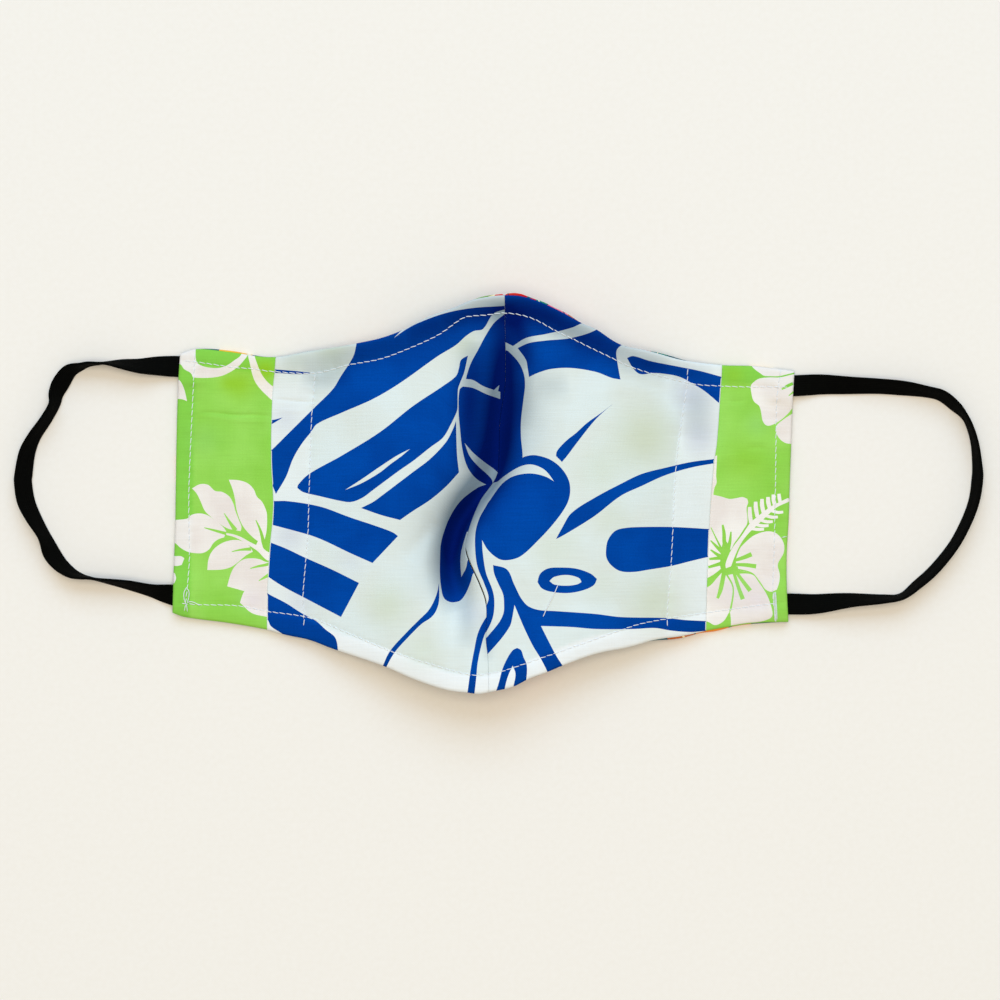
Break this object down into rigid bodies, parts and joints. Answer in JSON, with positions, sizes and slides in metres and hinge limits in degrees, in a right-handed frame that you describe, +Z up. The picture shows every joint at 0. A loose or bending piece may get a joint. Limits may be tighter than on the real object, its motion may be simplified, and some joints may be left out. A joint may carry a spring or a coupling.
{
  "type": "cloth face mask",
  "caption": "Contoured cloth face mask lying inner side up, with a curved centre seam, printed lining, contrast side bands and flat elastic ear loops.",
  "frame": {"origin": "centre of the bounding box, on the surface that the mask lies on", "axes": "+X from one ear loop to the other, +Y towards the nose edge, +Z up, out of the cup's hollow"},
  "size_m": [0.2926, 0.1188, 0.0158],
  "materials": {
    "outer_print": "multicolour floral cotton print, plain weave, matt",
    "leaf_print": "blue and white tropical leaf cotton print, plain weave, matt",
    "hibiscus_print": "lime green and white hibiscus cotton print, plain weave, matt",
    "black_elastic": "braided flat elastic with fine lengthwise ribs, matt black"
  },
  "bodies": {
    "root": {"outer_left": "outer_print", "outer_right": "outer_print", "lining_left": "leaf_print", "lining_right": "leaf_print", "side_band_left": "hibiscus_print", "side_band_right": "hibiscus_print", "ear_loop_left": "black_elastic", "ear_loop_right": "black_elastic"}
  },
  "joints": []
}
